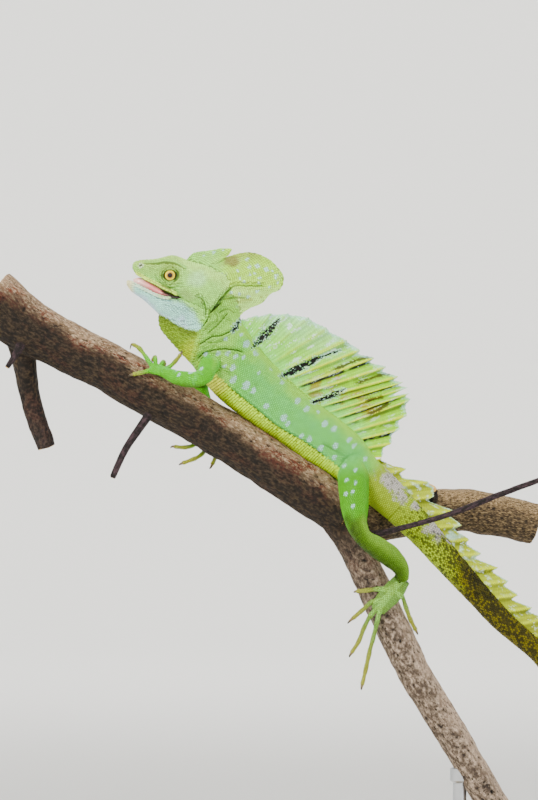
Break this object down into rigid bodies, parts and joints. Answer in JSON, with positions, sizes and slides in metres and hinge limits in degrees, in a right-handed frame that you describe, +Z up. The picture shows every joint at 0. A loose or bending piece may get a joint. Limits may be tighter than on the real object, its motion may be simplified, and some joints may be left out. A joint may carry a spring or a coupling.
{
  "type": "green basilisk lizard on a branch, still display model",
  "caption": "Life-size still model of a plumed green basilisk gripping a cut forked branch, with head crest, back sail and hanging tail, on a flat base with a short rod.",
  "frame": {"origin": "middle of the base board's underside", "axes": "+Z up; the lizard's head points to -X and up, its left side faces -Y, its tail hangs to +X"},
  "size_m": [0.5434, 0.19, 0.6209],
  "materials": {
    "skin": "small dry scales, satin, bright green with an olive neck and yellow belly",
    "crest": "thin ribbed skin, lime yellow with dark streaks and white flecks",
    "mouth": "moist pink skin",
    "eye": "wet, glossy, gold iris with a round black pupil",
    "bark": "rough brown bark with dark flecks",
    "board": "pale satin hardwood board",
    "rod": "fine brushed steel"
  },
  "bodies": {
    "root": {"head": "skin", "lower_jaw": "skin", "tongue": "mouth", "eye_l": "eye", "eye_r": "eye", "neck": "skin", "torso_front": "skin", "torso_rear": "skin", "tail_1": "skin", "tail_2": "skin", "tail_3": "skin", "tail_4": "skin", "tail_5": "skin", "head_crest_front": "crest", "head_crest_rear": "crest", "dorsal_crest": "crest", "tail_crest": "crest", "upper_arm_l": "skin", "upper_arm_r": "skin", "forearm_l": "skin", "forearm_r": "skin", "hand_l": "skin", "hand_r": "skin", "thigh_l": "skin", "thigh_r": "skin", "shank_l": "skin", "shank_r": "skin", "foot_l": "skin", "foot_r": "skin", "perch_branch": "bark", "stand_base": "board", "stand_rod": "rod"}
  },
  "joints": []
}
